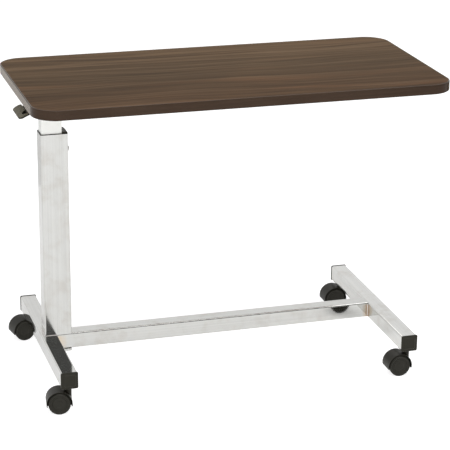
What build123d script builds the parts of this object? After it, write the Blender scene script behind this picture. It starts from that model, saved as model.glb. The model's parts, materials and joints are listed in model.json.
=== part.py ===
from build123d import *
import os
from math import cos, radians, sin

# Overbed table: a laminate top on a telescoping column, on an H base with four twin-wheel casters.
# Millimetres. +X runs along the long side of the top, +Y to its far side, +Z up.
# The origin is on the floor under the middle of the top.

# ---- driving dimensions ----
TOP_LENGTH = 762.0
TOP_DEPTH = 381.0
TOP_HEIGHT = 556.0
TOP_CORNER = 45.0
LAMINATE = 0.8
CORE = 15.9
BAND = 2.2
BAND_EDGE_ROUND = 1.6
BARB_DEPTH = 8.0
BARB_HEIGHT = 2.0
SLOT_PLAY = 0.1

TUBE = 30.0
TUBE_WALL = 1.5
TUBE_CORNER = 3.0
LEG_BOTTOM = 49.5
BASE_DEPTH = 390.0
LEFT_LEG_X = -332.5
RIGHT_LEG_X = 309.5
CAP_FLANGE = 2.0
CAP_LIP = 0.75
CAP_PLUG = 6.0
CAP_PLUG_WIDTH = 26.6
CAP_PLUG_CORNER = 2.0
CAP_PLUG_WALL = 1.9
CAP_EDGE_ROUND = 1.2
CAP_PANEL = 22.0
CAP_PANEL_RISE = 0.5
CAP_PANEL_TAPER = 45.0

COLUMN_LEFT = -340.5
COLUMN_WIDTH = 50.0
COLUMN_DEPTH = 36.0
COLUMN_WALL = 1.5
COLUMN_CORNER = 2.5
COLUMN_TOP = 464.0
INNER_WIDTH = 37.0
INNER_CORNER = 2.0
INNER_BOTTOM = 132.0

LINER = 0.95
RUN = 0.05
LINER_DEPTH = 62.0
LINER_LIP = 1.2
WEAR_BLOCK_DEPTH = 36.0
WEAR_BLOCK_STEP = 2.0
WEAR_BLOCK_CREST = 4.0
WEAR_SCREW_Z = 432.0
WEAR_SCREW_R = 3.0
WEAR_SCREW_HEAD_R = 5.2
WEAR_SCREW_HEAD = 4.6
WEAR_SCREW_SLOT = 1.1
WEAR_SCREW_SLOT_DEPTH = 1.5
WEAR_SCREW_GRIP = 7.0

SHEET = 2.5
CHANNEL_WEB_Z = 502.0
CHANNEL_WIDTH = 60.0
CHANNEL_LIP = 20.0
CHANNEL_LEFT = -348.0
CHANNEL_RIGHT = 190.0
WEB_WINDOW_LENGTH = 33.9
WEB_WINDOW_WIDTH = 26.0
SCREW_COLUMNS = 4
SCREW_PITCH_X = 165.0
SCREW_FIRST_X = -325.0
SCREW_R = 2.1
SCREW_HEAD_R = 4.2
SCREW_HEAD = 2.4
SCREW_CROSS = 4.2
SCREW_CROSS_SLOT = 0.9
SCREW_LENGTH = 14.0

PIVOT_X = -338.0
PIVOT_Z = 518.0
PIVOT_R = 3.0
BLADE_Z = 509.5
BLADE = 2.0
BLADE_WIDTH = 20.0
BLADE_RIGHT = -309.0
BLADE_CORNER = 3.0
ARM_SPAN = 50.0
ARM_WIDTH = 12.0
GRIP_LEFT = -381.0
GRIP_CROWN_R = 165.5
GRIP_TILT = 29.0
GRIP_TURN = 6.4
GRIP_WIDTH = 70.0
GRIP_CORNER = 9.5
GRIP_BACK_CORNER = 5.5
GRIP_SHELL = 3.2
GRIP_ROUND = 0.8
TONGUE_TILT = 19.0
TONGUE_INSET = 6.0
NOTCH_R = 11.0
NOTCH_X = -361.5
NOTCH_Y = -18.0

PLATE = 4.0
FOOT_PLATE = 8.0
BOLT_R = 4.0
BOLT_HEAD = 5.3
BOLT_FLATS = 13.0
RAIL_BOLT_X = -305.0
GAS_R = 11.0
GAS_WALL = 1.5
GAS_TOP = 370.0
GAS_BASE = 6.0
GUIDE_DEPTH = 18.0
ROD_R = 5.0
ROD_TOP = 502.0
PISTON_DEPTH = 14.0
PISTON_CHAMFER = 0.8
PIN_R = 2.0
PIN_TRAVEL = 2.8
PIN_DOME = 1.9
ANCHOR_Z = 486.0
ANCHOR = 8.0
NUT = 5.0
NUT_FLATS = 16.0

WHEEL_R = 20.0
WHEEL_INNER = 6.7
WHEEL_OUTER = 16.6
TRAIL = 16.0
STEM_Y = 177.5
HOOD_R = 23.2
HOOD_WALL = 1.5
HOOD_WIDTH = 32.0
HOOD_SKIRT = 5.0
YOKE_WIDTH = 13.0
NECK_R = 6.5
NECK_TOP = 47.2
STEM_R = 5.5
STEM_LOWER_R = 4.0
STEM_FOOT_Z = 28.0
STEM_TIP_Z = 74.0
POCKET_X = -4.0
POCKET_LENGTH = 10.0
POCKET_WIDTH = 4.5
HUB_R = 6.0
RIM_R = 16.0
WHEEL_DISH = 12.0
FACE_R = 17.5
FACE_STEP = 0.8
FACE_GROOVE_R = 13.0
FACE_GROOVE = 0.5
TREAD_EDGE = 1.5
FRONT_LEFT_SWIVEL = -8.0
REAR_LEFT_SWIVEL = 10.0
AXLE_R = 3.0
AXLE_LENGTH = 27.0
SOCKET_R = 7.0
SOCKET_FLANGE_R = 8.2
SOCKET_FLANGE = 0.9

# ---- positions that follow from them ----
LEG_TOP = LEG_BOTTOM + TUBE
LEG_MID = LEG_BOTTOM + TUBE / 2
TOP_UNDERSIDE = TOP_HEIGHT - CORE - 2 * LAMINATE
COLUMN_X = COLUMN_LEFT + COLUMN_WIDTH / 2
COLUMN_RIGHT = COLUMN_LEFT + COLUMN_WIDTH
INNER_LEFT = COLUMN_LEFT + COLUMN_WALL + LINER + RUN
INNER_RIGHT = INNER_LEFT + INNER_WIDTH
INNER_X = INNER_LEFT + INNER_WIDTH / 2
INNER_DEPTH = COLUMN_DEPTH - 2 * (COLUMN_WALL + LINER + RUN)
BORE_WIDTH = COLUMN_WIDTH - 2 * COLUMN_WALL
BORE_DEPTH = COLUMN_DEPTH - 2 * COLUMN_WALL
INNER_BORE = INNER_WIDTH - 2 * COLUMN_WALL
FOOT_TOP = LEG_TOP + FOOT_PLATE
PLATE_Z = LEG_BOTTOM - PLATE
AXLE_Z = WHEEL_R
SCREW_Y = CHANNEL_WIDTH / 2 + CHANNEL_LIP / 2


def finish(piece, name):
    """Label a finished piece and write it to its own file."""
    piece.label = name
    export_step(piece, f"parts/{name}.step")


def tube_profile(width, depth, corner, wall):
    """Hollow rounded rectangle, added to the open sketch."""
    RectangleRounded(width, depth, corner)
    RectangleRounded(width - 2 * wall, depth - 2 * wall, corner - wall, mode=Mode.SUBTRACT)


def top_outline(inset, mode=Mode.ADD):
    """Rounded outline of the top, pulled in by inset, in the open sketch."""
    RectangleRounded(TOP_LENGTH - 2 * inset, TOP_DEPTH - 2 * inset, TOP_CORNER - inset, mode=mode)


os.makedirs("parts", exist_ok=True)

# ---- table top ----
CORE_BOTTOM = TOP_UNDERSIDE + LAMINATE
CORE_MID = CORE_BOTTOM + CORE / 2
SCREW_GRIP = SCREW_LENGTH - SHEET
SUPPORT_MID_X = SCREW_FIRST_X + SCREW_PITCH_X * (SCREW_COLUMNS - 1) / 2
support_plane = Plane((SUPPORT_MID_X, 0, TOP_UNDERSIDE))


def at_support_screws():
    """Places of the wood screws that hold the channel, on a plane at SUPPORT_MID_X."""
    return GridLocations(SCREW_PITCH_X, 2 * SCREW_Y, SCREW_COLUMNS, 2)


with BuildPart() as tabletop_core:
    with BuildSketch(Plane.XY.offset(CORE_BOTTOM)):
        top_outline(BAND)
    extrude(amount=CORE)
    with BuildSketch(Plane.XY.offset(CORE_MID)):
        top_outline(BAND)
        top_outline(BAND + BARB_DEPTH + SLOT_PLAY, Mode.SUBTRACT)
    extrude(amount=BARB_HEIGHT / 2 + SLOT_PLAY, both=True, mode=Mode.SUBTRACT)
    with BuildSketch(support_plane):
        with at_support_screws():
            Circle(SCREW_R)
    extrude(amount=SCREW_GRIP, mode=Mode.SUBTRACT)
finish(tabletop_core.part, "tabletop_core")

with BuildPart() as tabletop_laminate:
    with BuildSketch(Plane.XY.offset(TOP_HEIGHT - LAMINATE)):
        top_outline(BAND)
    extrude(amount=LAMINATE)
finish(tabletop_laminate.part, "tabletop_laminate")

with BuildPart() as backing_sheet:
    with BuildSketch(Plane.XY.offset(TOP_UNDERSIDE)):
        top_outline(BAND)
    extrude(amount=LAMINATE)
    with BuildSketch(support_plane):
        with at_support_screws():
            Circle(SCREW_R)
    extrude(amount=LAMINATE, mode=Mode.SUBTRACT)
finish(backing_sheet.part, "backing_sheet")

with BuildPart() as edge_band:
    with BuildSketch(Plane.XY.offset(TOP_UNDERSIDE)):
        top_outline(0)
    extrude(amount=TOP_HEIGHT - TOP_UNDERSIDE)
    fillet(edge_band.faces().sort_by(Axis.Z)[-1].edges(), BAND_EDGE_ROUND)
    fillet(edge_band.faces().sort_by(Axis.Z)[0].edges(), BAND_EDGE_ROUND)
    with BuildSketch(Plane.XY.offset(TOP_UNDERSIDE)):
        top_outline(BAND)
    extrude(amount=TOP_HEIGHT - TOP_UNDERSIDE, mode=Mode.SUBTRACT)
    with BuildSketch(Plane.XY.offset(CORE_MID)):
        top_outline(BAND)
        top_outline(BAND + BARB_DEPTH, Mode.SUBTRACT)
    extrude(amount=BARB_HEIGHT / 2, both=True)
finish(edge_band.part, "edge_band")

# ---- support channel and its screws ----
channel_section = Plane.YZ.offset(CHANNEL_LEFT)
with BuildPart() as support_channel:
    with BuildSketch(channel_section):
        with BuildLine():
            half = Polyline(
                (0, CHANNEL_WEB_Z + SHEET / 2),
                (CHANNEL_WIDTH / 2 - SHEET / 2, CHANNEL_WEB_Z + SHEET / 2),
                (CHANNEL_WIDTH / 2 - SHEET / 2, TOP_UNDERSIDE - SHEET / 2),
                (CHANNEL_WIDTH / 2 + CHANNEL_LIP, TOP_UNDERSIDE - SHEET / 2),
            )
            mirror(half, about=Plane.YZ)
        trace(line_width=SHEET)
    extrude(amount=CHANNEL_RIGHT - CHANNEL_LEFT)
    with BuildSketch(support_plane):
        with at_support_screws():
            Circle(SCREW_R)
    extrude(amount=-SHEET, mode=Mode.SUBTRACT)
    with BuildSketch(Plane((INNER_X, 0, CHANNEL_WEB_Z))):
        Rectangle(WEB_WINDOW_LENGTH, WEB_WINDOW_WIDTH)
    extrude(amount=SHEET, mode=Mode.SUBTRACT)
    with BuildSketch(Plane.XZ.offset(-CHANNEL_WIDTH / 2)):
        with Locations((PIVOT_X, PIVOT_Z)):
            Circle(PIVOT_R)
    extrude(amount=CHANNEL_WIDTH, mode=Mode.SUBTRACT)
finish(support_channel.part, "support_channel")

SCREW_HEAD_Z = TOP_UNDERSIDE - SHEET
with BuildPart() as support_screws:
    with BuildSketch(Plane((SUPPORT_MID_X, 0, SCREW_HEAD_Z))):
        with at_support_screws():
            Circle(SCREW_HEAD_R)
    extrude(amount=-SCREW_HEAD)
    with BuildSketch(Plane((SUPPORT_MID_X, 0, SCREW_HEAD_Z))):
        with at_support_screws():
            Circle(SCREW_R)
    extrude(amount=SCREW_LENGTH)
    fillet(support_screws.edges().filter_by(GeomType.CIRCLE).group_by(Axis.Z)[0], SCREW_HEAD / 2)
    with BuildSketch(Plane((SUPPORT_MID_X, 0, SCREW_HEAD_Z - SCREW_HEAD))):
        with at_support_screws():
            Rectangle(SCREW_CROSS, SCREW_CROSS_SLOT)
            Rectangle(SCREW_CROSS_SLOT, SCREW_CROSS)
    extrude(amount=SCREW_HEAD / 2, mode=Mode.SUBTRACT)
finish(support_screws.part, "support_screws")

# ---- inner column, its foot glide and the rod anchor ----
with BuildPart() as inner_column:
    with BuildSketch(Plane((INNER_X, 0, INNER_BOTTOM))):
        tube_profile(INNER_WIDTH, INNER_DEPTH, INNER_CORNER, COLUMN_WALL)
    extrude(amount=CHANNEL_WEB_Z - INNER_BOTTOM)
finish(inner_column.part, "inner_column")

GLIDE_WIDTH = COLUMN_RIGHT - COLUMN_WALL - INNER_RIGHT - 2 * RUN
GLIDE_X = INNER_RIGHT + GLIDE_WIDTH / 2
with BuildPart() as foot_glide:
    with BuildSketch(Plane((GLIDE_X, 0, INNER_BOTTOM))):
        Rectangle(GLIDE_WIDTH, INNER_DEPTH)
    extrude(amount=WEAR_BLOCK_DEPTH)
    chamfer(foot_glide.edges().filter_by(Axis.Y).group_by(Axis.X)[-1], WEAR_BLOCK_STEP)
finish(foot_glide.part, "foot_glide")

with BuildPart() as rod_anchor_plate:
    with BuildSketch(Plane((INNER_X, 0, ANCHOR_Z))):
        RectangleRounded(INNER_BORE, INNER_DEPTH - 2 * COLUMN_WALL, INNER_CORNER)
        Circle(ROD_R, mode=Mode.SUBTRACT)
    extrude(amount=ANCHOR)
finish(rod_anchor_plate.part, "rod_anchor_plate")

with BuildPart() as rod_lock_nut:
    with BuildSketch(Plane((INNER_X, 0, ANCHOR_Z + ANCHOR))):
        RegularPolygon(NUT_FLATS / 2, 6, major_radius=False)
        Circle(ROD_R, mode=Mode.SUBTRACT)
    extrude(amount=NUT)
finish(rod_lock_nut.part, "rod_lock_nut")

# ---- locking gas spring: cylinder, guide, rod, piston and release pin ----
GUIDE_Z = GAS_TOP - GUIDE_DEPTH
PISTON_Z = INNER_BOTTOM
PIN_BOTTOM = PISTON_Z + PISTON_DEPTH + RUN
with BuildPart() as gas_cylinder:
    with BuildSketch(Plane((INNER_X, 0, FOOT_TOP))):
        Circle(GAS_R)
    extrude(amount=GAS_TOP - FOOT_TOP)
    with BuildSketch(Plane((INNER_X, 0, FOOT_TOP + GAS_BASE))):
        Circle(GAS_R - GAS_WALL)
    extrude(amount=GAS_TOP - FOOT_TOP, mode=Mode.SUBTRACT)
    with BuildSketch(Plane((INNER_X, 0, FOOT_TOP))):
        Circle(BOLT_R)
    extrude(amount=-FOOT_PLATE)
finish(gas_cylinder.part, "gas_cylinder")

with BuildPart() as rod_guide:
    with BuildSketch(Plane((INNER_X, 0, GUIDE_Z))):
        Circle(GAS_R - GAS_WALL)
        Circle(ROD_R + RUN, mode=Mode.SUBTRACT)
    extrude(amount=GUIDE_DEPTH)
finish(rod_guide.part, "rod_guide")

with BuildPart() as gas_piston:
    with BuildSketch(Plane((INNER_X, 0, PISTON_Z))):
        Circle(GAS_R - GAS_WALL - RUN)
    extrude(amount=PISTON_DEPTH)
    chamfer(gas_piston.edges(), PISTON_CHAMFER)
finish(gas_piston.part, "gas_piston")

with BuildPart() as gas_rod:
    with BuildSketch(Plane((INNER_X, 0, PISTON_Z + PISTON_DEPTH))):
        Circle(ROD_R)
        Circle(PIN_R + RUN, mode=Mode.SUBTRACT)
    extrude(amount=ROD_TOP - PISTON_Z - PISTON_DEPTH)
finish(gas_rod.part, "gas_rod")

with BuildPart() as release_pin:
    with BuildSketch(Plane((INNER_X, 0, PIN_BOTTOM + PIN_TRAVEL))):
        Circle(PIN_R)
    extrude(amount=BLADE_Z - RUN - PIN_BOTTOM - PIN_TRAVEL)
    fillet(release_pin.edges().group_by(Axis.Z)[-1], PIN_DOME)
finish(release_pin.part, "release_pin")

# ---- release lever: pivot pin, steel blade and moulded grip ----
with BuildPart() as lever_pivot_pin:
    with BuildSketch(Plane.XZ.offset(-CHANNEL_WIDTH / 2)):
        with Locations((PIVOT_X, PIVOT_Z)):
            Circle(PIVOT_R)
    extrude(amount=CHANNEL_WIDTH)
    for side in (-1, 1):
        with BuildSketch(Plane.XZ.offset(side * CHANNEL_WIDTH / 2)):
            with Locations((PIVOT_X, PIVOT_Z)):
                Circle(PIVOT_R + SHEET / 2)
        extrude(amount=side * SHEET)
finish(lever_pivot_pin.part, "lever_pivot_pin")

# The grip and the tongue under it share one centre of curvature, below and to the right of them.
GRIP_END = GRIP_TILT - GRIP_TURN
TONGUE_R = GRIP_CROWN_R - GRIP_SHELL - BLADE / 2
CURVE_X = GRIP_LEFT + GRIP_CROWN_R * sin(radians(GRIP_TILT))
CURVE_Z = BLADE_Z + BLADE / 2 - TONGUE_R * cos(radians(TONGUE_TILT))
TONGUE_RIGHT = CURVE_X - TONGUE_R * sin(radians(TONGUE_TILT))
TONGUE_LEFT = GRIP_LEFT + TONGUE_INSET
with BuildPart() as lever_blade:
    with BuildSketch(Plane.XZ):
        with BuildLine():
            tongue = CenterArc((CURVE_X, CURVE_Z), TONGUE_R, 90 + TONGUE_TILT, GRIP_TILT - TONGUE_TILT)
            Line(tongue @ 0, (BLADE_RIGHT, BLADE_Z + BLADE / 2))
        trace(line_width=BLADE)
    extrude(amount=GRIP_WIDTH / 2 - TONGUE_INSET, both=True)
    with BuildSketch(Plane.XY.offset(CURVE_Z)):
        with Locations(((TONGUE_LEFT + TONGUE_RIGHT) / 2, 0)):
            RectangleRounded(TONGUE_RIGHT - TONGUE_LEFT, GRIP_WIDTH - 2 * TONGUE_INSET, BLADE_CORNER)
        with Locations(((TONGUE_LEFT + BLADE_RIGHT) / 2, 0)):
            RectangleRounded(BLADE_RIGHT - TONGUE_LEFT, BLADE_WIDTH, BLADE_CORNER)
        with Locations((PIVOT_X, 0)):
            Rectangle(ARM_WIDTH, ARM_SPAN)
    extrude(amount=GRIP_CROWN_R, mode=Mode.INTERSECT)
    for side in (-1, 1):
        with BuildSketch(Plane.XZ.offset(side * ARM_SPAN / 2)):
            with Locations((PIVOT_X, PIVOT_Z)):
                Circle(ARM_WIDTH / 2)
            with Locations((PIVOT_X, (BLADE_Z + PIVOT_Z) / 2)):
                Rectangle(ARM_WIDTH, PIVOT_Z - BLADE_Z)
        extrude(amount=-side * BLADE)
    with BuildSketch(Plane.XZ.offset(-ARM_SPAN / 2)):
        with Locations((PIVOT_X, PIVOT_Z)):
            Circle(PIVOT_R + RUN)
    extrude(amount=ARM_SPAN, mode=Mode.SUBTRACT)
finish(lever_blade.part, "lever_blade")

with BuildPart() as lever_grip:
    with BuildSketch(Plane.XZ):
        with BuildLine():
            crown = CenterArc((CURVE_X, CURVE_Z), GRIP_CROWN_R, 90 + GRIP_END, GRIP_TURN)
            under = CenterArc((CURVE_X, CURVE_Z), GRIP_CROWN_R - GRIP_SHELL, 90 + GRIP_END, GRIP_TURN)
            Line(crown @ 0, under @ 0)
            Line(crown @ 1, under @ 1)
        make_face()
    extrude(amount=GRIP_WIDTH / 2, both=True)
    fillet(lever_grip.edges().filter_by(Axis.Y, reverse=True).group_by(Axis.X)[0], GRIP_CORNER)
    fillet(lever_grip.edges().filter_by(Axis.Y, reverse=True).group_by(Axis.X)[-1], GRIP_BACK_CORNER)
    fillet(lever_grip.faces().sort_by(Axis.Z)[-1].outer_wire().edges(), GRIP_ROUND)
    with BuildSketch(Plane.XY.offset(CURVE_Z)):
        with Locations((NOTCH_X, NOTCH_Y)):
            Circle(NOTCH_R)
    extrude(amount=GRIP_CROWN_R, mode=Mode.SUBTRACT)
finish(lever_grip.part, "lever_grip")

# ---- base frame: two legs, cross rail, junction plate and end caps ----
CAP_FACE_Y = BASE_DEPTH / 2 - CAP_PANEL_RISE
TUBE_LENGTH = 2 * (CAP_FACE_Y - CAP_FLANGE)


def leg_tube(x):
    """Square leg tube along Y at x, with a hole in its floor for each caster socket."""
    with BuildPart() as leg:
        with BuildSketch(Plane.XZ.offset(-TUBE_LENGTH / 2)):
            with Locations((x, LEG_MID)):
                tube_profile(TUBE, TUBE, TUBE_CORNER, TUBE_WALL)
        extrude(amount=TUBE_LENGTH)
        with BuildSketch(Plane((x, 0, LEG_BOTTOM))):
            with GridLocations(0, 2 * STEM_Y, 1, 2):
                Circle(SOCKET_R)
        extrude(amount=TUBE_WALL, mode=Mode.SUBTRACT)
    return leg.part


with BuildPart() as left_leg_tube:
    add(leg_tube(LEFT_LEG_X))
    with BuildSketch(Plane((LEFT_LEG_X, 0, LEG_BOTTOM))):
        Circle(BOLT_R)
    extrude(amount=TUBE, mode=Mode.SUBTRACT)
finish(left_leg_tube.part, "left_leg_tube")
finish(leg_tube(RIGHT_LEG_X), "right_leg_tube")

RAIL_LEFT = LEFT_LEG_X + TUBE / 2
RAIL_RIGHT = RIGHT_LEG_X - TUBE / 2
with BuildPart() as cross_rail_tube:
    with BuildSketch(Plane.YZ.offset(RAIL_LEFT)):
        with Locations((0, LEG_MID)):
            tube_profile(TUBE, TUBE, TUBE_CORNER, TUBE_WALL)
    extrude(amount=RAIL_RIGHT - RAIL_LEFT)
    with BuildSketch(Plane((RAIL_BOLT_X, 0, LEG_BOTTOM))):
        Circle(BOLT_R)
    extrude(amount=TUBE, mode=Mode.SUBTRACT)
finish(cross_rail_tube.part, "cross_rail_tube")


def at_column_bolts():
    """Places of the bolts that hold the column, one in the leg and one in the rail."""
    return Locations((LEFT_LEG_X, 0), (RAIL_BOLT_X, 0))


with BuildPart() as junction_plate:
    with BuildSketch(Plane.XY.offset(PLATE_Z)):
        with Locations((COLUMN_X, 0)):
            RectangleRounded(COLUMN_WIDTH, COLUMN_DEPTH, TUBE_CORNER)
        with at_column_bolts():
            Circle(BOLT_R, mode=Mode.SUBTRACT)
    extrude(amount=PLATE)
finish(junction_plate.part, "junction_plate")

with BuildPart() as column_foot_plate:
    with BuildSketch(Plane.XY.offset(LEG_TOP)):
        with Locations((COLUMN_X, 0)):
            RectangleRounded(BORE_WIDTH, BORE_DEPTH, COLUMN_CORNER - COLUMN_WALL)
        with at_column_bolts():
            Circle(BOLT_R, mode=Mode.SUBTRACT)
        with Locations((INNER_X, 0)):
            Circle(BOLT_R, mode=Mode.SUBTRACT)
    extrude(amount=FOOT_PLATE)
finish(column_foot_plate.part, "column_foot_plate")

with BuildPart() as column_bolts:
    with BuildSketch(Plane.XY.offset(PLATE_Z)):
        with at_column_bolts():
            RegularPolygon(BOLT_FLATS / 2, 6, major_radius=False)
    extrude(amount=-BOLT_HEAD)
    with BuildSketch(Plane.XY.offset(PLATE_Z)):
        with at_column_bolts():
            Circle(BOLT_R)
    extrude(amount=FOOT_TOP - PLATE_Z)
finish(column_bolts.part, "column_bolts")

with BuildPart() as leg_end_caps:
    for leg_x in (LEFT_LEG_X, RIGHT_LEG_X):
        for end in (-1, 1):
            with BuildSketch(Plane.XZ.offset(end * TUBE_LENGTH / 2)):
                with Locations((leg_x, LEG_MID)):
                    RectangleRounded(TUBE + 2 * CAP_LIP, TUBE + 2 * CAP_LIP, TUBE_CORNER)
            extrude(amount=end * CAP_FLANGE)
            with BuildSketch(Plane.XZ.offset(end * TUBE_LENGTH / 2)):
                with Locations((leg_x, LEG_MID)):
                    tube_profile(CAP_PLUG_WIDTH, CAP_PLUG_WIDTH, CAP_PLUG_CORNER, CAP_PLUG_WALL)
            extrude(amount=-end * CAP_PLUG)
    fillet(leg_end_caps.faces().sort_by(Axis.Y)[-2:].edges(), CAP_EDGE_ROUND)
    fillet(leg_end_caps.faces().sort_by(Axis.Y)[:2].edges(), CAP_EDGE_ROUND)
    for leg_x in (LEFT_LEG_X, RIGHT_LEG_X):
        for end in (-1, 1):
            with BuildSketch(Plane.XZ.offset(end * CAP_FACE_Y)):
                with Locations((leg_x, LEG_MID)):
                    RectangleRounded(CAP_PANEL, CAP_PANEL, TUBE_CORNER)
            extrude(amount=end * CAP_PANEL_RISE, taper=CAP_PANEL_TAPER)
finish(leg_end_caps.part, "leg_end_caps")

# ---- outer column with its liner, wear block and screw ----
with BuildPart() as outer_column:
    with BuildSketch(Plane((COLUMN_X, 0, LEG_TOP))):
        tube_profile(COLUMN_WIDTH, COLUMN_DEPTH, COLUMN_CORNER, COLUMN_WALL)
    extrude(amount=COLUMN_TOP - LEG_TOP)
    with BuildSketch(Plane.YZ.offset(COLUMN_RIGHT)):
        with Locations((0, WEAR_SCREW_Z)):
            Circle(WEAR_SCREW_R)
    extrude(amount=-COLUMN_WALL, mode=Mode.SUBTRACT)
finish(outer_column.part, "outer_column")

LINER_WIDTH = INNER_RIGHT - INNER_LEFT + LINER + RUN
LINER_X = INNER_LEFT - RUN - LINER + LINER_WIDTH / 2
with BuildPart() as column_liner:
    with BuildSketch(Plane((LINER_X, 0, COLUMN_TOP - LINER_DEPTH))):
        Rectangle(LINER_WIDTH, BORE_DEPTH)
    extrude(amount=LINER_DEPTH)
    fillet(column_liner.edges().filter_by(Axis.Z).group_by(Axis.X)[0], COLUMN_CORNER - COLUMN_WALL)
    with BuildSketch(Plane((COLUMN_X, 0, COLUMN_TOP))):
        RectangleRounded(COLUMN_WIDTH - LINER, COLUMN_DEPTH - LINER, COLUMN_CORNER)
        with Locations((LINER_WIDTH, 0)):
            Rectangle(COLUMN_WIDTH, COLUMN_DEPTH, mode=Mode.SUBTRACT)
    extrude(amount=LINER_LIP)
    with BuildSketch(Plane((INNER_X, 0, COLUMN_TOP - LINER_DEPTH))):
        RectangleRounded(INNER_WIDTH + 2 * RUN, INNER_DEPTH + 2 * RUN, INNER_CORNER)
        with Locations((INNER_WIDTH / 2, 0)):
            Rectangle(INNER_WIDTH, INNER_DEPTH + 2 * RUN)
    extrude(amount=LINER_DEPTH + LINER_LIP, mode=Mode.SUBTRACT)
finish(column_liner.part, "column_liner")

BLOCK_LEFT = INNER_RIGHT + RUN
BLOCK_RIGHT = COLUMN_RIGHT - COLUMN_WALL
with BuildPart() as wear_block:
    with BuildSketch(Plane(((BLOCK_LEFT + BLOCK_RIGHT) / 2, 0, COLUMN_TOP - WEAR_BLOCK_DEPTH))):
        Rectangle(BLOCK_RIGHT - BLOCK_LEFT, INNER_DEPTH)
    extrude(amount=WEAR_BLOCK_DEPTH + WEAR_BLOCK_CREST)
    with BuildSketch(Plane(((BLOCK_LEFT + BLOCK_RIGHT) / 2 + COLUMN_WALL / 2, 0, COLUMN_TOP))):
        Rectangle(BLOCK_RIGHT - BLOCK_LEFT + COLUMN_WALL, INNER_DEPTH - WEAR_BLOCK_STEP)
    extrude(amount=WEAR_BLOCK_STEP)
    chamfer(
        wear_block.faces().sort_by(Axis.Z)[-1].edges().filter_by(Axis.Y).sort_by(Axis.X)[-1],
        WEAR_BLOCK_STEP / 2,
    )
    with BuildSketch(Plane.YZ.offset(BLOCK_RIGHT)):
        with Locations((0, WEAR_SCREW_Z)):
            Circle(WEAR_SCREW_R)
    extrude(amount=-WEAR_SCREW_GRIP, mode=Mode.SUBTRACT)
finish(wear_block.part, "wear_block")

with BuildPart() as wear_block_screw:
    with BuildSketch(Plane.YZ.offset(COLUMN_RIGHT)):
        with Locations((0, WEAR_SCREW_Z)):
            Circle(WEAR_SCREW_HEAD_R)
    extrude(amount=WEAR_SCREW_HEAD)
    fillet(wear_block_screw.edges().group_by(Axis.X)[-1], WEAR_SCREW_HEAD / 2)
    with BuildSketch(Plane.YZ.offset(COLUMN_RIGHT)):
        with Locations((0, WEAR_SCREW_Z)):
            Circle(WEAR_SCREW_R)
    extrude(amount=-COLUMN_WALL - WEAR_SCREW_GRIP)
    with BuildSketch(Plane.YZ.offset(COLUMN_RIGHT + WEAR_SCREW_HEAD)):
        with Locations((0, WEAR_SCREW_Z)):
            Rectangle(WEAR_SCREW_HEAD_R, WEAR_SCREW_SLOT)
            Rectangle(WEAR_SCREW_SLOT, WEAR_SCREW_HEAD_R)
    extrude(amount=-WEAR_SCREW_SLOT_DEPTH, mode=Mode.SUBTRACT)
finish(wear_block_screw.part, "wear_block_screw")

# ---- caster sockets in the legs ----
SOCKET_TOP = LEG_TOP - TUBE_WALL - SOCKET_FLANGE
with BuildPart() as caster_sockets:
    for leg_x in (LEFT_LEG_X, RIGHT_LEG_X):
        with BuildSketch(Plane((leg_x, 0, LEG_BOTTOM))):
            with GridLocations(0, 2 * STEM_Y, 1, 2):
                Circle(SOCKET_FLANGE_R)
        extrude(amount=-SOCKET_FLANGE)
        with BuildSketch(Plane((leg_x, 0, LEG_BOTTOM))):
            with GridLocations(0, 2 * STEM_Y, 1, 2):
                Circle(SOCKET_R)
        extrude(amount=SOCKET_TOP - LEG_BOTTOM)
        with BuildSketch(Plane((leg_x, 0, LEG_BOTTOM - SOCKET_FLANGE))):
            with GridLocations(0, 2 * STEM_Y, 1, 2):
                Circle(STEM_R + RUN)
        extrude(amount=SOCKET_TOP - LEG_BOTTOM, mode=Mode.SUBTRACT)
finish(caster_sockets.part, "caster_sockets")


# ---- casters: hood with its yoke, stem, axle and two wheels each ----
def side_plane(x, y, swivel):
    """Upright plane through a stem at (x, y), turned by swivel degrees: first axis forward, second up."""
    turn = radians(swivel)
    return Plane((x, y, 0), x_dir=(cos(turn), sin(turn), 0), z_dir=(sin(turn), -cos(turn), 0))


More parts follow.
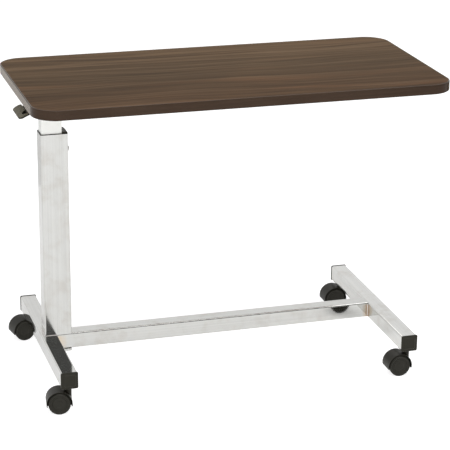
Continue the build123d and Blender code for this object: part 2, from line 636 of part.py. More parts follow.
def caster_hood(side):
    """Curved hood over both wheels, with the yoke between them and the neck round the stem."""
    with BuildPart() as hood:
        with BuildSketch(side):
            with Locations((-TRAIL, AXLE_Z)):
                Circle(HOOD_R)
                Circle(HOOD_R - HOOD_WALL, mode=Mode.SUBTRACT)
            with Locations((-TRAIL, AXLE_Z - HOOD_SKIRT - HOOD_R)):
                Rectangle(4 * HOOD_R, 2 * HOOD_R, mode=Mode.SUBTRACT)
        extrude(amount=HOOD_WIDTH / 2, both=True)
        with BuildSketch(side):
            with Locations((-TRAIL, AXLE_Z)):
                Circle(HOOD_R - HOOD_WALL / 2)
            with Locations((-TRAIL, AXLE_Z - 2 * AXLE_R - HOOD_R)):
                Rectangle(4 * HOOD_R, 2 * HOOD_R, mode=Mode.SUBTRACT)
        extrude(amount=YOKE_WIDTH / 2, both=True)
        with BuildSketch(Plane(side.origin + Vector(0, 0, NECK_TOP))):
            Circle(NECK_R)
        extrude(amount=AXLE_Z - NECK_TOP)
        for cheek in (-1, 1):
            with BuildSketch(Plane(side.origin + Vector(0, 0, NECK_TOP), x_dir=side.x_dir)):
                with Locations((POCKET_X, cheek * (YOKE_WIDTH / 2 + POCKET_WIDTH / 2))):
                    RectangleRounded(POCKET_LENGTH, POCKET_WIDTH, POCKET_WIDTH / 3)
            extrude(amount=AXLE_Z - NECK_TOP, mode=Mode.SUBTRACT)
        with BuildSketch(side):
            with Locations((-TRAIL, AXLE_Z)):
                Circle(AXLE_R)
        extrude(amount=YOKE_WIDTH, both=True, mode=Mode.SUBTRACT)
        with BuildSketch(Plane(side.origin + Vector(0, 0, NECK_TOP))):
            Circle(STEM_LOWER_R)
        extrude(amount=STEM_FOOT_Z - NECK_TOP, mode=Mode.SUBTRACT)
    return hood.part


def caster_stem(side):
    """Turned stem: lower pin in the hood, collar, and the shank that turns in the socket."""
    collar_top = LEG_BOTTOM - SOCKET_FLANGE - RUN
    with BuildPart() as stem:
        with BuildSketch(side):
            with BuildLine():
                Polyline(
                    (0, STEM_FOOT_Z),
                    (STEM_LOWER_R, STEM_FOOT_Z),
                    (STEM_LOWER_R, NECK_TOP),
                    (NECK_R, NECK_TOP),
                    (NECK_R, collar_top),
                    (STEM_R, collar_top),
                    (STEM_R, STEM_TIP_Z - STEM_R / 2),
                    (STEM_R / 2, STEM_TIP_Z),
                    (0, STEM_TIP_Z),
                    close=True,
                )
            make_face()
        revolve(axis=Axis(side.origin, (0, 0, 1)))
    return stem.part


def caster_axle(side):
    """Plain steel axle through the yoke and both wheels."""
    with BuildPart() as axle:
        with BuildSketch(side):
            with Locations((-TRAIL, AXLE_Z)):
                Circle(AXLE_R)
        extrude(amount=AXLE_LENGTH / 2, both=True)
    return axle.part


def caster_wheel(side, hand):
    """One dished wheel, on the near (hand 1) or far (hand -1) face of the yoke."""
    centre = side.from_local_coords(Vector(-TRAIL, AXLE_Z, 0))
    outward = side.z_dir * hand
    section = Plane(centre, x_dir=outward, z_dir=outward.cross(side.y_dir))
    face = WHEEL_OUTER - FACE_STEP
    with BuildPart() as wheel:
        with BuildSketch(section):
            with BuildLine():
                Polyline(
                    (WHEEL_INNER, AXLE_R + RUN),
                    (WHEEL_INNER, HUB_R),
                    (WHEEL_DISH, HUB_R),
                    (WHEEL_DISH, RIM_R),
                    (WHEEL_INNER, RIM_R),
                    (WHEEL_INNER, WHEEL_R - TREAD_EDGE),
                    (WHEEL_INNER + TREAD_EDGE, WHEEL_R),
                    (WHEEL_OUTER - TREAD_EDGE, WHEEL_R),
                    (WHEEL_OUTER, WHEEL_R - TREAD_EDGE),
                    (WHEEL_OUTER, FACE_R),
                    (face, FACE_R - FACE_STEP),
                    (face, FACE_GROOVE_R + FACE_GROOVE),
                    (face - FACE_GROOVE, FACE_GROOVE_R),
                    (face, FACE_GROOVE_R - FACE_GROOVE),
                    (face, HUB_R + FACE_STEP),
                    (WHEEL_OUTER - FACE_STEP / 2, HUB_R),
                    (WHEEL_OUTER - FACE_STEP / 2, 0),
                    (AXLE_LENGTH / 2 + RUN, 0),
                    (AXLE_LENGTH / 2 + RUN, AXLE_R + RUN),
                    close=True,
                )
            make_face()
        revolve(axis=Axis(centre, outward))
    return wheel.part


CASTERS = {
    "front_left": (LEFT_LEG_X, -STEM_Y, FRONT_LEFT_SWIVEL),
    "rear_left": (LEFT_LEG_X, STEM_Y, REAR_LEFT_SWIVEL),
    "front_right": (RIGHT_LEG_X, -STEM_Y, 0),
    "rear_right": (RIGHT_LEG_X, STEM_Y, 0),
}
for corner, (stem_x, stem_y, swivel) in CASTERS.items():
    caster_side = side_plane(stem_x, stem_y, swivel)
    finish(caster_hood(caster_side), f"{corner}_caster_hood")
    finish(caster_stem(caster_side), f"{corner}_caster_stem")
    finish(caster_axle(caster_side), f"{corner}_caster_axle")
    finish(caster_wheel(caster_side, 1), f"{corner}_near_wheel")
    finish(caster_wheel(caster_side, -1), f"{corner}_far_wheel")
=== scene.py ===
import json
from math import cos, pi, radians, sin

import bmesh
import bpy
from mathutils import Matrix, Vector


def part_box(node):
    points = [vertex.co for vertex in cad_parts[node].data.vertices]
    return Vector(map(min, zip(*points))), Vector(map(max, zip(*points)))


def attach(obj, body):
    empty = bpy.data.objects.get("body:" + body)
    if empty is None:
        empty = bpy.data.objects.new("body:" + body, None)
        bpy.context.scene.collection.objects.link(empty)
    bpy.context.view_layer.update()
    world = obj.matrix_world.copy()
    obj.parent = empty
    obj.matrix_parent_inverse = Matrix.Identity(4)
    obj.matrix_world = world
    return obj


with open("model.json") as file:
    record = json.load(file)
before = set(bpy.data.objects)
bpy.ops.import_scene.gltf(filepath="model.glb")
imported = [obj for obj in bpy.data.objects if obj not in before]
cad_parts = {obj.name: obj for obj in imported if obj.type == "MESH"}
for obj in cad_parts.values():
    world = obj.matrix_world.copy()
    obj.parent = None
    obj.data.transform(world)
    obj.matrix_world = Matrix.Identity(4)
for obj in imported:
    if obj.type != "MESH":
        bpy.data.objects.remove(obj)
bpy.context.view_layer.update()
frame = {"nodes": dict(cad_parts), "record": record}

# Looks for the overbed table. Metres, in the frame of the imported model:
# +X along the top, +Y to its far side, +Z up, floor at zero. The column stands at the -X end.
MM = 0.001

# ---- camera: the lens and sensor are in millimetres ----
CAMERA_PLACE = Vector((-0.92396, -3.10196, 1.38844))
CAMERA_YAW = radians(16.730)
CAMERA_PITCH = radians(19.223)
CAMERA_ROLL = radians(0.568)
CAMERA_LENS = 146.69
CAMERA_SENSOR = 36.0
CAMERA_SEES_TO = 200.0

# ---- studio light ----
FLOOR_REACH = 30.0
FLOOR_GLOW = 0.72
FLOOR_GLOW_SEEN = 1.25
WALL_LIGHT = 0.90
CEILING_LIGHT = 0.30
DARK_END_LIGHT = 0.12
DARK_END_DIRECTION = (0.1, -0.90, 0.42)

# ---- colours, linear ----
WARM_WALNUT = (0.248, 0.129, 0.063)
CHROME_DULL = (0.645, 0.645, 0.628)
CHROME_CLEAN = (0.71, 0.71, 0.692)
PALE_STRAW = (0.70, 0.58, 0.43)
DARK_STRAW = (0.44, 0.31, 0.19)
NYLON_DARK = (0.009, 0.0084, 0.0052)
NYLON_LIGHT = (0.013, 0.0123, 0.0080)
WARM_SHEEN = (1.0, 0.97, 0.88, 1.0)

# ---- walnut: how far its figure sways, where its warm streaks fade and how its painted sheen runs across Y ----
GRAIN_SWAY = 0.11
WARM_FULL_Y = -0.16
WARM_LEAST_Y = 0.10
PAINTED_SHEEN_PER_METRE = 2.6

# ---- chrome: noise scales across and along the drawn tube, and the heat tint beside a weld,
# which is full and gone at two depths below the tube's top face ----
LINES_ACROSS = 420.0
LINES_ALONG = 3.0
WAVES_ACROSS = 16.0
WAVES_ALONG = 5.0
DARK_TINT_REACH = 9 * MM
PALE_TINT_REACH = 15 * MM
TINT_FULL_DEPTH = 6 * MM
TINT_GONE_DEPTH = 2.5 * MM

# ---- weld beads: radii, ripples, and how far a bead stops short of a tube's corner ----
SMALL_BEAD = 0.9 * MM
BIG_BEAD = 1.4 * MM
BEAD_SIDES = 12
BEAD_PITCH = 1.1 * MM
RINGS_A_RIPPLE = 4
FEWEST_RINGS = 8
RIPPLE_DEPTH = 0.12
CORNER_GAP = 1.5 * MM


# ---- shader building ----
class Shader:
    """A material whose node graph is built one node at a time, ending in one Principled shader."""

    def __init__(self, name):
        self.material = bpy.data.materials.new(name)
        self.material.use_nodes = True
        self.tree = self.material.node_tree
        self.tree.nodes.clear()
        output = self.tree.nodes.new("ShaderNodeOutputMaterial")
        self.surface = self.tree.nodes.new("ShaderNodeBsdfPrincipled")
        self.tree.links.new(self.surface.outputs[0], output.inputs["Surface"])
        self.place = self.node("ShaderNodeTexCoord").outputs["Object"]

    def feed(self, socket, value):
        """Links a socket to another node's output, or sets its value."""
        if isinstance(value, bpy.types.NodeSocket):
            self.tree.links.new(value, socket)
        else:
            socket.default_value = value

    def node(self, kind, inputs=None, **settings):
        """A new node with its settings and inputs filled in."""
        made = self.tree.nodes.new(kind)
        for key, value in settings.items():
            setattr(made, key, value)
        for key, value in (inputs or {}).items():
            self.feed(made.inputs[key], value)
        return made

    def axis(self, letter, vector=None):
        """One coordinate of the object's own place, or of the given vector."""
        split = self.node("ShaderNodeSeparateXYZ", {"Vector": vector or self.place})
        return split.outputs[letter]

    def stretched(self, scale, place=None):
        """The object's own coordinates, or the given place, multiplied by scale."""
        inputs = {"Vector": place or self.place, "Scale": scale}
        return self.node("ShaderNodeMapping", inputs).outputs[0]

    def noise(self, scale, detail=2.0, rough=0.5, warp=0.0, place=None):
        """Noise from 0 to 1 over the object, or over the given place, stretched by scale."""
        inputs = {
            "Vector": self.stretched(scale, place),
            "Scale": 1.0,
            "Detail": detail,
            "Roughness": rough,
            "Distortion": warp,
        }
        return self.node("ShaderNodeTexNoise", inputs).outputs["Fac"]

    def ramp(self, value, *stops):
        """A colour ramp: each stop is (position, grey or colour)."""
        made = self.node("ShaderNodeValToRGB", {"Fac": value})
        band = made.color_ramp
        while len(band.elements) < len(stops):
            band.elements.new(0.5)
        for element, (position, tone) in zip(band.elements, stops):
            element.position = position
            colour = tone if isinstance(tone, tuple) else (tone, tone, tone)
            element.color = (*colour, 1.0)
        return made.outputs["Color"]

    def mix(self, share, first, second, blend="MIX"):
        """Blends two colours."""
        made = self.node("ShaderNodeMix", data_type="RGBA", blend_type=blend)
        self.feed(made.inputs[0], share)
        self.feed(made.inputs[6], first if not isinstance(first, tuple) else (*first, 1.0))
        self.feed(made.inputs[7], second if not isinstance(second, tuple) else (*second, 1.0))
        return made.outputs[2]

    def toned(self, colour, value, *stops):
        """The colour multiplied by a ramp of the value."""
        return self.mix(1.0, colour, self.ramp(value, *stops), "MULTIPLY")

    def math(self, operation, first, second=0.0):
        """One arithmetic step."""
        made = self.node("ShaderNodeMath", operation=operation)
        self.feed(made.inputs[0], first)
        self.feed(made.inputs[1], second)
        return made.outputs[0]

    def range(self, value, low, high):
        """Moves a value from 0..1 to low..high."""
        inputs = {"Value": value, "To Min": low, "To Max": high}
        return self.node("ShaderNodeMapRange", inputs).outputs[0]

    def fade(self, value, start, end):
        """One at start, falling to nothing at end."""
        inputs = {"Value": value, "From Min": start, "From Max": end, "To Min": 1.0, "To Max": 0.0}
        return self.node("ShaderNodeMapRange", inputs).outputs[0]

    def openness(self, reach):
        """One in the open, falling to nothing deep in a crevice narrower than reach."""
        inputs = {"Distance": reach}
        return self.node("ShaderNodeAmbientOcclusion", inputs, samples=8).outputs["AO"]

    def bump(self, height, depth, strength=0.5, normal=None):
        """A normal raised by height times depth metres."""
        inputs = {"Height": height, "Distance": depth, "Strength": strength}
        if normal is not None:
            inputs["Normal"] = normal
        return self.node("ShaderNodeBump", inputs).outputs[0]

    def finish(self, colour, rough, metal=0.0, normal=None, **more):
        """Feeds the Principled shader and returns the material."""
        tone = (*colour, 1.0) if isinstance(colour, tuple) else colour
        self.feed(self.surface.inputs["Base Color"], tone)
        self.feed(self.surface.inputs["Roughness"], rough)
        self.feed(self.surface.inputs["Metallic"], metal)
        if normal is not None:
            self.feed(self.surface.inputs["Normal"], normal)
        for key, value in more.items():
            self.feed(self.surface.inputs[key.replace("_", " ")], value)
        return self.material


# ---- materials of the top ----
def walnut_laminate():
    """Printed walnut, matt: fine grain along X, drawn-out dark bands, a few warm streaks and a painted sheen
    that lightens it towards the far side.
    """
    s = Shader("walnut_laminate")
    along = s.axis("X")
    across = s.axis("Y")
    sway = s.math("MULTIPLY", s.noise((1.5, 6.0, 1.0)), GRAIN_SWAY)
    swayed = {"X": along, "Y": s.math("ADD", across, sway)}
    bent = s.node("ShaderNodeCombineXYZ", swayed).outputs[0]
    figure = s.noise((1.5, 42.0, 1.0), detail=6.0, rough=0.66, place=bent)
    streaks = s.noise((3.4, 120.0, 1.0), detail=4.0, rough=0.6, place=bent)
    pores = s.noise((9.0, 460.0, 1.0), detail=3.0, rough=0.6, place=bent)
    warm = s.noise((2.3, 24.0, 1.0), place=bent)
    colour = s.ramp(
        figure,
        (0.28, (0.070, 0.044, 0.0245)),
        (0.45, (0.114, 0.072, 0.0380)),
        (0.60, (0.156, 0.101, 0.0560)),
        (0.78, (0.208, 0.143, 0.0870)),
    )
    warmth = s.ramp(warm, (0.54, 0.0), (0.72, 0.65))
    nearness = s.range(s.fade(across, WARM_FULL_Y, WARM_LEAST_Y), 0.30, 1.0)
    colour = s.mix(s.math("MULTIPLY", warmth, nearness), colour, WARM_WALNUT)
    colour = s.toned(colour, streaks, (0.30, 0.72), (0.50, 1.0), (0.72, 1.22))
    colour = s.toned(colour, pores, (0.32, 0.80), (0.52, 1.0), (0.75, 1.10))
    # Painted sheen: darker and warmer at the near edge, lighter and greyer towards the far side, standing in
    # for the backdrop's reflection.
    depth = s.math("ADD", s.math("MULTIPLY", across, PAINTED_SHEEN_PER_METRE), 0.5)
    colour = s.toned(
        colour,
        depth,
        (0.05, (0.715, 0.625, 0.58)),
        (0.50, (0.73, 0.71, 0.70)),
        (0.95, (1.0, 0.97, 0.96)),
    )
    normal = s.bump(pores, 0.05 * MM)
    return s.finish(colour, s.range(pores, 0.44, 0.56), normal=normal, Specular_IOR_Level=0.015)


def edge_vinyl():
    """Brown extruded vinyl, slightly glossy, with faint drawing lines along its length."""
    s = Shader("edge_vinyl")
    lines = s.noise((6.0, 6.0, 900.0))
    cloud = s.noise((14.0, 14.0, 14.0), detail=3.0)
    streak = s.noise((9.0, 9.0, 260.0), detail=3.0, rough=0.6)
    colour = s.mix(cloud, (0.036, 0.0205, 0.0120), (0.050, 0.0305, 0.0195))
    colour = s.toned(colour, streak, (0.3, 0.85), (0.7, 1.12))
    return s.finish(
        colour,
        s.range(lines, 0.30, 0.42),
        normal=s.bump(lines, 0.02 * MM, 0.4),
        Specular_IOR_Level=0.0,
        Coat_Weight=0.85,
        Coat_Roughness=0.12,
        Coat_IOR=1.25,
        Sheen_Weight=0.45,
        Sheen_Roughness=0.22,
        Sheen_Tint=(1.0, 0.84, 0.64, 1.0),
    )


def particle_board():
    """Raw chip board: pale chips in a darker glue line."""
    s = Shader("particle_board")
    inputs = {"Vector": s.stretched((300.0, 700.0, 900.0)), "Scale": 1.0}
    chips = s.node("ShaderNodeTexVoronoi", inputs).outputs["Distance"]
    colour = s.ramp(chips, (0.1, (0.42, 0.30, 0.18)), (0.7, (0.24, 0.16, 0.09)))
    return s.finish(colour, 0.85, normal=s.bump(chips, 0.2 * MM))


def backing_paper():
    """Brown phenolic backing with sanding lines."""
    s = Shader("backing_paper")
    sanding = s.noise((8.0, 500.0, 8.0), detail=3.0, rough=0.6)
    cloud = s.noise((9.0, 9.0, 9.0), detail=3.0)
    base = s.mix(cloud, (0.15, 0.105, 0.070), (0.20, 0.150, 0.105))
    colour = s.mix(s.ramp(sanding, (0.4, 0.0), (0.7, 0.35)), base, (0.26, 0.21, 0.16))
    return s.finish(colour, s.range(sanding, 0.55, 0.75), normal=s.bump(sanding, 0.03 * MM))


# ---- metals and enamel ----
def drawn(along, across_scale, along_scale):
    """A noise scale that differs along one axis, given by its number, from the other two."""
    scale = [across_scale, across_scale, across_scale]
    scale[along] = along_scale
    return tuple(scale)


def heat_share(s, spot, reach, top):
    """How strongly steel is tinted beside a weld at spot, fading out just below the tube's top face."""
    level = s.node("ShaderNodeVectorMath", {0: s.place, 1: (1.0, 1.0, 0.0)}, operation="MULTIPLY")
    gap = s.node("ShaderNodeVectorMath", {0: level.outputs[0], 1: spot}, operation="DISTANCE")
    ragged = s.math("MULTIPLY", s.noise((140.0, 140.0, 90.0), detail=3.0), reach * 0.8)
    ragged_gap = s.math("ADD", gap.outputs["Value"], ragged)
    share = s.ramp(s.math("DIVIDE", ragged_gap, reach * 2.0), (0.30, 0.80), (0.85, 0.0))
    low_down = s.fade(s.axis("Z"), top - TINT_FULL_DEPTH, top - TINT_GONE_DEPTH)
    return s.math("MULTIPLY", share, low_down)


def chrome_plate(name, along, rough_low, rough_high, tints=(), painted_light_scale=1.0):
    """Satin chrome on drawn tube: lines along one axis, slow clouds, a tint beside each weld, and a
    brightness scale for painted light.
    """
    s = Shader(name)
    lines = s.noise(drawn(along, LINES_ACROSS, LINES_ALONG), rough=0.6)
    wave = s.noise(drawn(along, WAVES_ACROSS, WAVES_ALONG))
    cloud = s.noise((34.0, 34.0, 34.0), detail=4.0, rough=0.6)
    speckle = s.noise((700.0, 700.0, 700.0), rough=0.6)
    dull = tuple(c * painted_light_scale for c in CHROME_DULL)
    clean = tuple(c * painted_light_scale for c in CHROME_CLEAN)
    colour = s.toned(
        s.mix(wave, dull, clean),
        cloud,
        (0.33, (0.915, 0.895, 0.875)),
        (0.52, (0.985, 0.985, 0.98)),
        (0.72, 1.0),
    )
    colour = s.toned(colour, lines, (0.30, 0.93), (0.62, 1.0))
    for spot, reach, tint, top in tints:
        colour = s.mix(heat_share(s, spot, reach, top), colour, tint)
    mottle = s.math("MULTIPLY", s.math("ADD", speckle, wave), 0.5)
    normal = s.bump(lines, 0.012 * MM, normal=s.bump(wave, 0.18 * MM, 0.6))
    return s.finish(colour, s.range(mottle, rough_low, rough_high), 1.0, normal)


def grey_enamel():
    """Light grey enamel with a soft orange peel."""
    s = Shader("grey_enamel")
    peel = s.noise((420.0, 420.0, 420.0))
    cloud = s.noise((20.0, 20.0, 6.0))
    colour = s.mix(cloud, (0.85, 0.86, 0.83), (0.90, 0.91, 0.88))
    return s.finish(colour, s.range(peel, 0.28, 0.38), normal=s.bump(peel, 0.03 * MM))


def zinc_steel():
    """Zinc plate with faint turning lines and a yellowish bloom."""
    s = Shader("zinc_steel")
    lines = s.noise((150.0, 150.0, 1400.0))
    bloom = s.noise((80.0, 80.0, 80.0), detail=3.0, rough=0.6)
    colour = s.mix(bloom, (0.52, 0.53, 0.53), (0.66, 0.65, 0.60))
    return s.finish(colour, s.range(lines, 0.26, 0.42), 1.0, s.bump(lines, 0.02 * MM))


def bronze():
    """Turned bronze bush."""
    s = Shader("bronze")
    lines = s.noise((120.0, 120.0, 1500.0))
    colour = s.mix(lines, (0.42, 0.27, 0.11), (0.60, 0.42, 0.20))
    return s.finish(colour, s.range(lines, 0.25, 0.4), 1.0, s.bump(lines, 0.02 * MM))


def weld_metal():
    """Plated weld bead: bright ripples with straw and rose bloom between them."""
    s = Shader("weld_metal")
    bloom = s.noise((260.0, 260.0, 260.0), detail=3.0, rough=0.6)
    colour = s.ramp(
        bloom,
        (0.3, (0.62, 0.55, 0.51)),
        (0.55, (0.80, 0.76, 0.75)),
        (0.8, (0.90, 0.89, 0.90)),
    )
    return s.finish(colour, s.range(bloom, 0.22, 0.38), 0.9, s.bump(bloom, 0.1 * MM, 0.6))


# ---- plastics ----
def moulded(name, dark, light, rough_low, rough_high, crevice=6 * MM, dust=0.0, shine=0.3):
    """Moulded plastic with a spark-eroded grain, faint handling marks and painted shade darkening its
    crevices.
    """
    s = Shader(name)
    grain = s.noise((900.0, 900.0, 900.0), detail=3.0, rough=0.6)
    scuffs = s.noise((60.0, 90.0, 45.0), detail=4.0, rough=0.7, warp=0.6)
    cloud = s.noise((30.0, 30.0, 30.0))
    scuffed = tuple(c * 1.6 + 0.006 for c in light)
    colour = s.mix(cloud, dark, light)
    colour = s.mix(s.ramp(scuffs, (0.62, 0.0), (0.78, 0.22)), colour, scuffed)
    # Painted shade: colour and reflection fall towards dark in crevices and in gaps between parts, standing
    # in for the shade that falls there.
    clear = s.ramp(s.openness(crevice), (0.30, 0.08), (0.75, 1.0))
    return s.finish(
        s.mix(1.0, colour, clear, "MULTIPLY"),
        s.range(grain, rough_low, rough_high),
        normal=s.bump(grain, 0.04 * MM, 0.6),
        Specular_IOR_Level=s.math("MULTIPLY", clear, shine),
        Specular_Tint=WARM_SHEEN,
        Sheen_Weight=dust,
        Sheen_Roughness=0.35,
        Sheen_Tint=WARM_SHEEN,
    )


def grip_plastic():
    """Olive grey grip: a coarse worn stipple on top, with painted shade darkening its edges and underside.
    """
    s = Shader("grip_plastic")
    stipple = s.noise((330.0, 330.0, 330.0), detail=3.0, rough=0.65)
    fine = s.noise((1500.0, 1500.0, 1500.0))
    cloud = s.noise((70.0, 70.0, 70.0))
    colour = s.ramp(
        stipple,
        (0.32, (0.094, 0.086, 0.058)),
        (0.50, (0.162, 0.149, 0.104)),
        (0.68, (0.255, 0.236, 0.170)),
    )
    colour = s.toned(colour, cloud, (0.3, 0.88), (0.7, 1.08))
    # Painted shade: faces turned away from straight up are darkened, with steep sides and the underside cut
    # to about a sixth.
    upward = s.axis("Z", s.node("ShaderNodeNewGeometry").outputs["Normal"])
    colour = s.toned(colour, upward, (0.30, 0.16), (0.78, 1.0))
    height = s.math("ADD", stipple, s.math("MULTIPLY", fine, 0.4))
    normal = s.bump(height, 0.15 * MM, 0.6)
    return s.finish(colour, s.range(fine, 0.48, 0.66), normal=normal, Specular_IOR_Level=0.3)


# ---- where the welds and their heat tint go, from the frame ----
rail_low, rail_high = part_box("cross_rail_tube")
leg_low, leg_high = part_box("left_leg_tube")
column_low, column_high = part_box("outer_column")
plate_low, plate_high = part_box("junction_plate")
mast_low, mast_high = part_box("inner_column")
left_joint = Vector((rail_low.x, rail_low.y, 0))
right_joint = Vector((rail_high.x, rail_low.y, 0))
rail_left_tint = (left_joint, PALE_TINT_REACH, PALE_STRAW, rail_high.z)
rail_right_tint = (right_joint, DARK_TINT_REACH, DARK_STRAW, rail_high.z)
leg_right_tint = (right_joint, DARK_TINT_REACH, DARK_STRAW, leg_high.z)

# ---- a material for every node: its own, or the one of its material slot ----
leg_chrome = chrome_plate("leg_chrome", 1, 0.03, 0.10)
column_chrome = chrome_plate("column_chrome", 2, 0.08, 0.17)
painted = grey_enamel()
NODE_MATERIALS = {
    "tabletop_laminate": walnut_laminate(),
    "tabletop_core": particle_board(),
    "backing_sheet": backing_paper(),
    "edge_band": edge_vinyl(),
    "cross_rail_tube": chrome_plate("rail_chrome", 0, 0.03, 0.08, [rail_left_tint, rail_right_tint]),
    "left_leg_tube": leg_chrome,
    # Painted light: the right leg's chrome is made brighter than the left leg's, standing in for the
    # brighter reflections it shows.
    "right_leg_tube": chrome_plate("right_leg_chrome_painted_lighter", 1, 0.03, 0.10, [leg_right_tint], painted_light_scale=1.09),
    "junction_plate": leg_chrome,
    "outer_column": column_chrome,
    "gas_rod": column_chrome,
    "rod_guide": bronze(),
    "lever_grip": grip_plastic(),
    "leg_end_caps": moulded("cap_nylon", NYLON_DARK, NYLON_LIGHT, 0.26, 0.38, crevice=1 * MM, dust=0.4),
}
SLOT_MATERIALS = {
    "black_enamel": moulded("black_enamel", (0.010, 0.010, 0.010), (0.016, 0.016, 0.016), 0.25, 0.35),
    "black_nylon": moulded("black_nylon", NYLON_DARK, NYLON_LIGHT, 0.28, 0.42),
    "hood_plastic": moulded(
        "hood_plastic", (0.011, 0.0100, 0.0070), (0.017, 0.0156, 0.0112), 0.30, 0.45, shine=0.2
    ),
    "wheel_nylon": moulded(
        "wheel_nylon", (0.012, 0.0116, 0.0088), (0.018, 0.0172, 0.0135), 0.34, 0.50
    ),
    "zinc_steel": zinc_steel(),
    "grey_enamel": painted,
}
slots = {entry["node"]: entry["material_slot"] for entry in frame["record"]["subparts"]}
for name, piece in frame["nodes"].items():
    material = NODE_MATERIALS.get(name) or SLOT_MATERIALS[slots[name]]
    piece.data.materials.clear()
    piece.data.materials.append(material)


# ---- weld beads ----
def weld_bead(name, start, end, radius, body, material):
    """A laid bead: a round run whose width swells once a ripple, closed to a point at both ends."""
    start = Vector(start)
    end = Vector(end)
    ahead = (end - start).normalized()
    side = ahead.orthogonal().normalized()
    other = ahead.cross(side)
    length = (end - start).length
    rings = max(FEWEST_RINGS, round(length / BEAD_PITCH) * RINGS_A_RIPPLE)
    angles = [2 * pi * k / BEAD_SIDES for k in range(BEAD_SIDES)]
    mesh = bmesh.new()
    tips = [mesh.verts.new(start), mesh.verts.new(end)]
    rows = []
    for ring in range(1, rings):
        along = length * ring / rings
        ripple = 1 - RIPPLE_DEPTH + RIPPLE_DEPTH * abs(sin(pi * along / BEAD_PITCH))
        taper = min(1.0, min(along, length - along) / radius) ** 0.5
        reach = radius * ripple * taper
        centre = start + ahead * along
        points = [centre + side * reach * cos(a) + other * reach * sin(a) for a in angles]
        rows.append([mesh.verts.new(point) for point in points])
    for first, second in zip(rows, rows[1:]):
        for k in range(BEAD_SIDES):
            mesh.faces.new((first[k], first[k - 1], second[k - 1], second[k]))
    for k in range(BEAD_SIDES):
        mesh.faces.new((tips[0], rows[0][k - 1], rows[0][k]))
        mesh.faces.new((tips[1], rows[-1][k], rows[-1][k - 1]))
    for face in mesh.faces:
        face.smooth = True
    bmesh.ops.recalc_face_normals(mesh, faces=mesh.faces[:])
    data = bpy.data.meshes.new(name)
    mesh.to_mesh(data)
    mesh.free()
    data.materials.append(material)
    bead = bpy.data.objects.new(name, data)
    bpy.context.scene.collection.objects.link(bead)
    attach(bead, body)


def base_welds():
    """Beads round the column's foot, up the sides of the rail's ends and along the junction plate."""
    bright = weld_metal()

    def bead(name, start, end, radius):
        """A plated bead on the base."""
        weld_bead(name, start, end, radius, "base", bright)

    foot_z = leg_high.z
    foot_left = column_low.x + CORNER_GAP
    plate_z = leg_low.z
    plate_left = plate_low.x + CORNER_GAP
    leg_right = leg_high.x
    rail_bottom = rail_low.z + 2 * CORNER_GAP
    rail_top = rail_high.z - 2 * CORNER_GAP
    for sign, word in ((-1, "front"), (1, "rear")):
        foot_y = sign * column_high.y
        rail_y = sign * rail_high.y
        plate_y = sign * plate_high.y
        bead(f"foot_weld_{word}", (foot_left, foot_y, foot_z), (leg_right, foot_y, foot_z), SMALL_BEAD)
        for x, end in ((rail_low.x, "left"), (rail_high.x, "right")):
            bead(f"rail_weld_{end}_{word}", (x, rail_y, rail_bottom), (x, rail_y, rail_top), BIG_BEAD)
        bead(f"plate_weld_{word}", (plate_left, plate_y, plate_z), (leg_right, plate_y, plate_z), SMALL_BEAD)
    near = column_low.y + 2 * CORNER_GAP
    far = column_high.y - 2 * CORNER_GAP
    for x, word in ((column_low.x, "left"), (column_high.x, "right")):
        bead(f"foot_weld_{word}", (x, near, foot_z), (x, far, foot_z), SMALL_BEAD)


def mast_welds():
    """Painted beads round the top of the inner column, where it meets the channel."""

    def bead(name, start, end):
        """A painted bead on the mast."""
        weld_bead(name, start, end, BIG_BEAD, "mast", painted)

    z = mast_high.z
    left = mast_low.x + CORNER_GAP
    right = mast_high.x - CORNER_GAP
    near = mast_low.y + CORNER_GAP
    far = mast_high.y - CORNER_GAP
    for sign, word in ((-1, "front"), (1, "rear")):
        y = sign * mast_high.y
        bead(f"channel_weld_{word}", (left, y, z), (right, y, z))
    for x, word in ((mast_low.x, "left"), (mast_high.x, "right")):
        bead(f"channel_weld_{word}", (x, near, z), (x, far, z))


base_welds()
mast_welds()


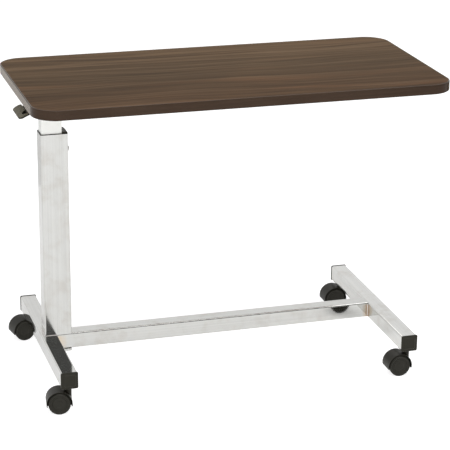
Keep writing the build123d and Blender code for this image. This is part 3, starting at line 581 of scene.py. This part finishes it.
# ---- studio ----
def studio_world():
    """White for the camera; for the rest, bright walls, a dim ceiling and a dark end behind the camera."""
    world = bpy.data.worlds.new("studio")
    world.use_nodes = True
    tree = world.node_tree
    tree.nodes.clear()
    output = tree.nodes.new("ShaderNodeOutputWorld")
    direction = tree.nodes.new("ShaderNodeTexCoord").outputs["Generated"]

    def blend_by_angle(towards, stops):
        """Greys that change with the cosine of the angle from one direction."""
        facing = tree.nodes.new("ShaderNodeVectorMath")
        facing.operation = "DOT_PRODUCT"
        tree.links.new(direction, facing.inputs[0])
        facing.inputs[1].default_value = Vector(towards).normalized()
        ramp = tree.nodes.new("ShaderNodeValToRGB")
        for element, (position, grey) in zip(ramp.color_ramp.elements, stops):
            element.position = position
            element.color = (grey, grey, grey, 1)
        tree.links.new(facing.outputs["Value"], ramp.inputs["Fac"])
        return ramp.outputs["Color"]

    walls = blend_by_angle((0, 0, 1), ((0.45, WALL_LIGHT), (0.70, CEILING_LIGHT)))
    dark_end = blend_by_angle(DARK_END_DIRECTION, ((0.66, 1.0), (0.86, DARK_END_LIGHT / WALL_LIGHT)))
    both = tree.nodes.new("ShaderNodeMix")
    both.data_type = "RGBA"
    both.blend_type = "MULTIPLY"
    both.inputs[0].default_value = 1.0
    tree.links.new(walls, both.inputs[6])
    tree.links.new(dark_end, both.inputs[7])
    room = tree.nodes.new("ShaderNodeBackground")
    tree.links.new(both.outputs[2], room.inputs["Color"])
    paper = tree.nodes.new("ShaderNodeBackground")
    paper.inputs["Color"].default_value = (1, 1, 1, 1)
    seen = tree.nodes.new("ShaderNodeLightPath")
    mix = tree.nodes.new("ShaderNodeMixShader")
    tree.links.new(seen.outputs["Is Camera Ray"], mix.inputs[0])
    tree.links.new(room.outputs[0], mix.inputs[1])
    tree.links.new(paper.outputs[0], mix.inputs[2])
    tree.links.new(mix.outputs[0], output.inputs["Surface"])
    bpy.context.scene.world = world


def level_corners(left, right, near, far, z):
    """The corners of a level sheet."""
    return [(left, near, z), (right, near, z), (right, far, z), (left, far, z)]


def upright_corners(x, near, far, bottom, top):
    """The corners of an upright sheet that faces along X."""
    return [(x, near, bottom), (x, far, bottom), (x, far, top), (x, near, top)]


def stage_sheet(name, corners, material):
    """A four-cornered sheet that belongs to the studio, not to the table."""
    mesh = bpy.data.meshes.new(name)
    mesh.from_pydata(corners, [], [(0, 1, 2, 3)])
    mesh.materials.append(material)
    sheet = bpy.data.objects.new(name, mesh)
    bpy.context.scene.collection.objects.link(sheet)
    return sheet


def studio_floor():
    """A wide pale floor that glows more for the camera than for the table."""
    s = Shader("floor_paper")
    paper = s.mix(s.noise((3.0, 3.0, 3.0)), (0.60, 0.60, 0.60), (0.62, 0.62, 0.62))
    seen = s.node("ShaderNodeLightPath").outputs["Is Camera Ray"]
    glow = s.range(seen, FLOOR_GLOW, FLOOR_GLOW_SEEN)
    material = s.finish(paper, 0.9, Emission_Color=paper, Emission_Strength=glow)
    corners = level_corners(-FLOOR_REACH, FLOOR_REACH, -FLOOR_REACH, FLOOR_REACH, 0)
    stage_sheet("floor", corners, material)


def reflector(name, corners, light):
    """A flat card that shows only in reflections: near 0 a black flag, higher a glowing board."""
    s = Shader(name)
    bright = (light, light, light)
    dim = (light * 0.95, light * 0.95, light * 0.95)
    grey = s.mix(s.noise((2.0, 2.0, 2.0)), bright, dim)
    material = s.finish((0.02, 0.02, 0.02), 0.9, Emission_Color=grey, Emission_Strength=1.0)
    card = stage_sheet(name, corners, material)
    card.visible_camera = False
    card.visible_diffuse = False
    card.visible_shadow = False


def studio_cards():
    """A dark flag beyond the table's right end, and a pale board on the floor behind its left end."""
    flag = upright_corners(x=1.25, near=0.08, far=0.95, bottom=0.12, top=0.5)
    board = level_corners(left=-1.4, right=-0.5, near=1.1, far=2.1, z=3 * MM)
    reflector("right_flag", flag, light=0.03)
    reflector("left_board", board, light=0.72)


def softbox(name, place, target, width, height, power, mirrored=True):
    """A rectangular soft light aimed at a point, left out of reflections where mirrored is false."""
    light = bpy.data.lights.new(name, "AREA")
    light.shape = "RECTANGLE"
    light.size = width
    light.size_y = height
    light.energy = power
    lamp = bpy.data.objects.new(name, light)
    bpy.context.scene.collection.objects.link(lamp)
    lamp.location = place
    lamp.rotation_euler = (Vector(target) - Vector(place)).to_track_quat("-Z", "Y").to_euler()
    lamp.visible_camera = False
    lamp.visible_glossy = mirrored


def studio_lights():
    """Three soft lights: overhead, from the front, and a faint one behind the table."""
    softbox("overhead", (0.3, -1.2, 3.2), (0, 0, 0.3), width=3.6, height=1.6, power=62.0)
    softbox(
        "front_fill", (-1.5, -4.0, 1.5), (0, 0, 0.4), width=2.0, height=2.0, power=80.0, mirrored=False
    )
    softbox("rear_haze", (0.5, 1.5, 1.35), (0.1, 0.1, 0.55), width=1.6, height=0.5, power=2.0)


def studio_camera():
    """The viewing place, looking down at the table from its front left, with a long lens."""
    camera = bpy.data.objects.new("camera", bpy.data.cameras.new("camera"))
    bpy.context.scene.collection.objects.link(camera)
    camera.data.lens = CAMERA_LENS
    camera.data.sensor_width = CAMERA_SENSOR
    camera.data.clip_end = CAMERA_SEES_TO
    flat = cos(CAMERA_PITCH)
    ahead = Vector((sin(CAMERA_YAW) * flat, cos(CAMERA_YAW) * flat, -sin(CAMERA_PITCH)))
    level = Vector((cos(CAMERA_YAW), -sin(CAMERA_YAW), 0))
    upright = level.cross(ahead)
    right = cos(CAMERA_ROLL) * level + sin(CAMERA_ROLL) * upright
    up = -sin(CAMERA_ROLL) * level + cos(CAMERA_ROLL) * upright
    turn = Matrix((right, up, -ahead)).transposed().to_4x4()
    camera.matrix_world = Matrix.Translation(CAMERA_PLACE) @ turn
    bpy.context.scene.camera = camera


studio_world()
studio_floor()
studio_cards()
studio_lights()
studio_camera()
bpy.context.scene.view_settings.view_transform = "Standard"
